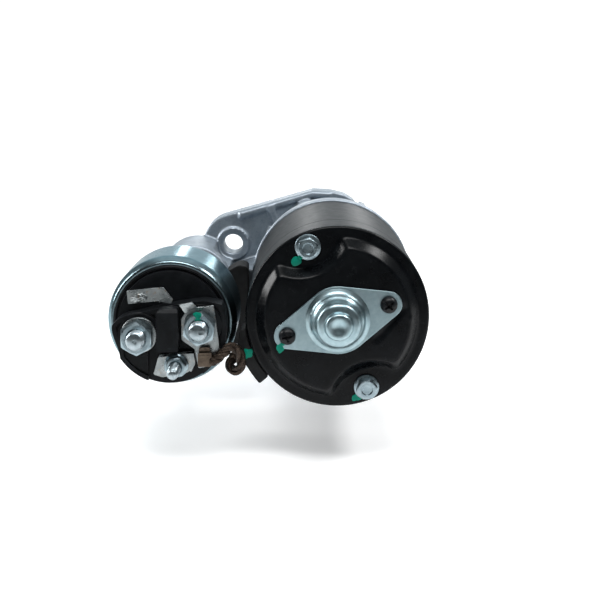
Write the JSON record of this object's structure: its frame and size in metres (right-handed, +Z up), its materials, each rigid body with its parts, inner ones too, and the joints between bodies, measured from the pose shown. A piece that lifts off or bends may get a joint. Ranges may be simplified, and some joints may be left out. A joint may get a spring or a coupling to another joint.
{
  "type": "starter motor",
  "caption": "Planetary-gear car starter motor with piggyback solenoid, shift lever, overrunning pinion drive and an aluminium flange housing.",
  "frame": {"origin": "on the shaft axis, in the plane of the flange's mating face", "axes": "+Y along the shaft towards the pinion nose, +Z up with the solenoid to the left (-X) when seen from the terminal end"},
  "size_m": [0.1391, 0.2326, 0.1036],
  "materials": {
    "cast_aluminium": "sand-cast, lightly blasted",
    "black_paint": "gloss black paint over steel",
    "black_plastic": "moulded glass-filled plastic",
    "black_rubber": "moulded rubber",
    "bright_zinc": "bright zinc plate",
    "black_steel": "black oxide",
    "tinned_copper": "tinned copper sheet",
    "copper": "bare copper",
    "braided_copper": "darkened copper braid",
    "ground_steel": "ground and hardened steel",
    "magnet_ferrite": "sintered ferrite",
    "core_steel": "plain machined steel",
    "winding_varnish": "varnished copper winding",
    "carbon_brush": "pressed copper-graphite",
    "sintered_bronze": "sintered bronze",
    "spring_steel": "spring steel"
  },
  "bodies": {
    "frame": {"drive_end_housing": "cast_aluminium", "yoke": "black_paint", "magnet_1": "magnet_ferrite", "magnet_2": "magnet_ferrite", "magnet_3": "magnet_ferrite", "magnet_4": "magnet_ferrite", "rear_cover": "black_paint", "shaft_end_cap": "bright_zinc", "cap_screw_left": "black_steel", "cap_screw_right": "black_steel", "through_bolt_upper": "bright_zinc", "through_bolt_lower": "bright_zinc", "solenoid_can": "bright_zinc", "solenoid_coil": "winding_varnish", "solenoid_core": "core_steel", "solenoid_screw_left": "bright_zinc", "solenoid_screw_lower": "bright_zinc", "solenoid_cap": "black_plastic", "battery_stud": "bright_zinc", "motor_stud": "bright_zinc", "control_stud": "bright_zinc", "battery_nut": "bright_zinc", "motor_nut": "bright_zinc", "control_nut": "bright_zinc", "battery_washer": "bright_zinc", "motor_terminal_plate": "tinned_copper", "braid_crimp": "copper", "control_terminal": "tinned_copper", "winding_tab": "tinned_copper", "cable_grommet": "black_rubber", "braided_lead": "braided_copper", "brush_plate": "black_plastic", "ring_gear": "black_plastic", "gear_plate": "core_steel", "front_bush": "sintered_bronze", "rear_bush": "sintered_bronze", "lever_pin": "ground_steel", "lever_seal": "black_rubber", "return_spring": "spring_steel"},
    "armature": {"armature_shaft": "ground_steel", "armature_core": "core_steel", "winding_rear": "winding_varnish", "winding_front": "winding_varnish", "commutator": "copper", "shaft_clip": "spring_steel"},
    "output_shaft": {"output_shaft": "ground_steel", "stop_ring": "core_steel"},
    "planet_1": {"planet_gear_1": "ground_steel"},
    "planet_2": {"planet_gear_2": "ground_steel"},
    "planet_3": {"planet_gear_3": "ground_steel"},
    "collar": {"shift_collar": "black_plastic"},
    "clutch": {"clutch": "core_steel"},
    "pinion": {"pinion": "ground_steel"},
    "lever": {"fork_lever": "black_plastic"},
    "plunger": {"plunger": "ground_steel"},
    "contact": {"contact_bridge": "copper"},
    "brush_a": {"brush_1": "carbon_brush"},
    "brush_b": {"brush_2": "carbon_brush"},
    "brush_c": {"brush_3": "carbon_brush"},
    "brush_d": {"brush_4": "carbon_brush"}
  },
  "joints": [
    {"name": "armature_spin", "type": "hinge", "parent": "frame", "child": "armature", "pos_m": [0, 0, 0], "axis": [0, 1, 0], "continuous": true},
    {"name": "output_shaft_spin", "type": "hinge", "parent": "frame", "child": "output_shaft", "pos_m": [0, 0, 0], "axis": [0, 1, 0], "continuous": true},
    {"name": "planet_1_spin", "type": "hinge", "parent": "output_shaft", "child": "planet_1", "pos_m": [0, -0.06, 0.0168], "axis": [0, 1, 0], "continuous": true},
    {"name": "planet_2_spin", "type": "hinge", "parent": "output_shaft", "child": "planet_2", "pos_m": [-0.01455, -0.06, -0.0084], "axis": [0, 1, 0], "continuous": true},
    {"name": "planet_3_spin", "type": "hinge", "parent": "output_shaft", "child": "planet_3", "pos_m": [0.01455, -0.06, -0.0084], "axis": [0, 1, 0], "continuous": true},
    {"name": "plunger_pull", "type": "slide", "parent": "frame", "child": "plunger", "axis": [0, -1, 0], "range_m": [0, 0.011], "stiffness_N_per_m": 800, "springref_m": -0.012, "deforming": ["return_spring"]},
    {"name": "lever_swing", "type": "hinge", "parent": "frame", "child": "lever", "pos_m": [-0.038, -0.031, -0.0035], "axis": [0, 0, 1], "range_deg": [0, 19.1]},
    {"name": "drive_slide", "type": "slide", "parent": "output_shaft", "child": "collar", "axis": [0, 1, 0], "range_m": [0, 0.0127]},
    {"name": "helix_turn", "type": "hinge", "parent": "collar", "child": "clutch", "pos_m": [0, -0.0373, 0], "axis": [0, 1, 0], "range_deg": [-35.3, 0]},
    {"name": "pinion_overrun", "type": "hinge", "parent": "clutch", "child": "pinion", "pos_m": [0, -0.0373, 0], "axis": [0, 1, 0], "continuous": true},
    {"name": "contact_push", "type": "slide", "parent": "frame", "child": "contact", "axis": [0, -1, 0], "range_m": [0, 0.003]},
    {"name": "brush_1_lift", "type": "slide", "parent": "frame", "child": "brush_a", "axis": [0.3811, 0, 0.9245], "range_m": [0, 0.003], "stiffness_N_per_m": 500, "springref_m": -0.01},
    {"name": "brush_2_lift", "type": "slide", "parent": "frame", "child": "brush_b", "axis": [-0.9245, 0, 0.3811], "range_m": [0, 0.003], "stiffness_N_per_m": 500, "springref_m": -0.01},
    {"name": "brush_3_lift", "type": "slide", "parent": "frame", "child": "brush_c", "axis": [-0.3811, 0, -0.9245], "range_m": [0, 0.003], "stiffness_N_per_m": 500, "springref_m": -0.01},
    {"name": "brush_4_lift", "type": "slide", "parent": "frame", "child": "brush_d", "axis": [0.9245, 0, -0.3811], "range_m": [0, 0.003], "stiffness_N_per_m": 500, "springref_m": -0.01}
  ],
  "couplings": [
    {"joint": "output_shaft_spin", "follows": "armature_spin", "ratio": 0.22917},
    {"joint": "planet_1_spin", "follows": "armature_spin", "ratio": -0.65224},
    {"joint": "planet_2_spin", "follows": "armature_spin", "ratio": -0.65224},
    {"joint": "planet_3_spin", "follows": "armature_spin", "ratio": -0.65224},
    {"joint": "lever_swing", "follows": "plunger_pull", "rad_per_m": 30.303},
    {"joint": "drive_slide", "follows": "plunger_pull", "ratio": 1.1515},
    {"joint": "helix_turn", "follows": "plunger_pull", "rad_per_m": -55.849},
    {"joint": "contact_push", "follows": "plunger_pull", "ratio": 0.27273}
  ]
}
